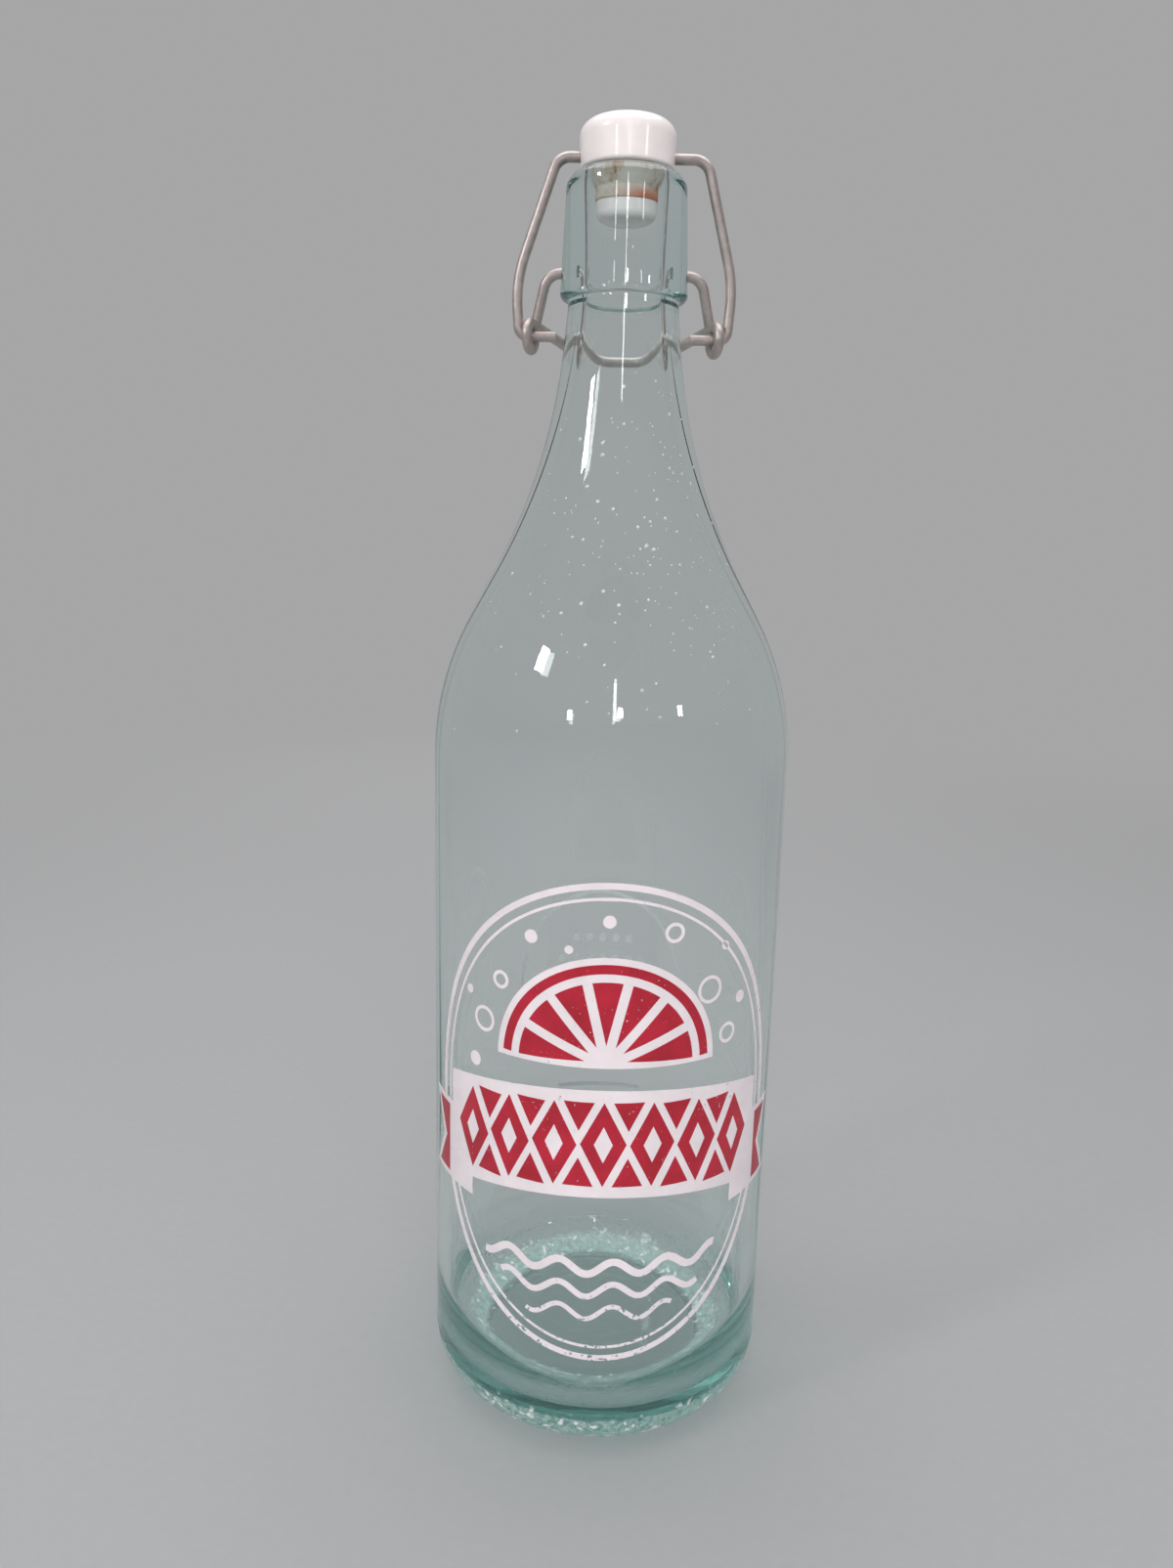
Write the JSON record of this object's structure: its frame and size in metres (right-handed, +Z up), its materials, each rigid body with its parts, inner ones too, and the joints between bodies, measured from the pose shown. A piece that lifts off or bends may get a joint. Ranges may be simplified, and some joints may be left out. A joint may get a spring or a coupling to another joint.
{
  "type": "swing top bottle",
  "caption": "Tall aqua glass bottle closed by a porcelain stopper with a rubber gasket, which a bent-wire bail and an over-centre lever wire clamp onto the mouth.",
  "frame": {"origin": "on the bottle's axis in the plane of the bearing ring under its base", "axes": "+Z up along the bottle's axis, X along the closure's pivots, +Y towards the lever's handle behind the neck"},
  "size_m": [0.088, 0.088, 0.3137],
  "materials": {
    "bottle_glass": "fire-polished",
    "porcelain": "glazed",
    "gasket_rubber": "matte, aged",
    "closure_wire": "galvanised, dull"
  },
  "bodies": {
    "bottle": {"glass_bottle": "bottle_glass"},
    "lever": {"lever_wire": "closure_wire"},
    "bail": {"bail_wire": "closure_wire"},
    "stopper": {"porcelain_stopper": "porcelain", "rubber_gasket": "gasket_rubber"}
  },
  "joints": [
    {"name": "lever_swing", "type": "hinge", "parent": "bottle", "child": "lever", "pos_m": [0, 0, 0.2813], "axis": [1, 0, 0], "range_deg": [0, 100], "deforming": ["rubber_gasket"]},
    {"name": "bail_swing", "type": "hinge", "parent": "lever", "child": "bail", "pos_m": [0, -0.0008, 0.2673], "axis": [1, 0, 0], "range_deg": [-72.5, 0]},
    {"name": "stopper_tilt", "type": "hinge", "parent": "bail", "child": "stopper", "pos_m": [0, 0, 0.3061], "axis": [1, 0, 0], "range_deg": [-34.5, 0]}
  ],
  "couplings": [
    {"joint": "bail_swing", "follows": "lever_swing", "ratio": -0.725},
    {"joint": "stopper_tilt", "follows": "lever_swing", "ratio": -0.345}
  ]
}
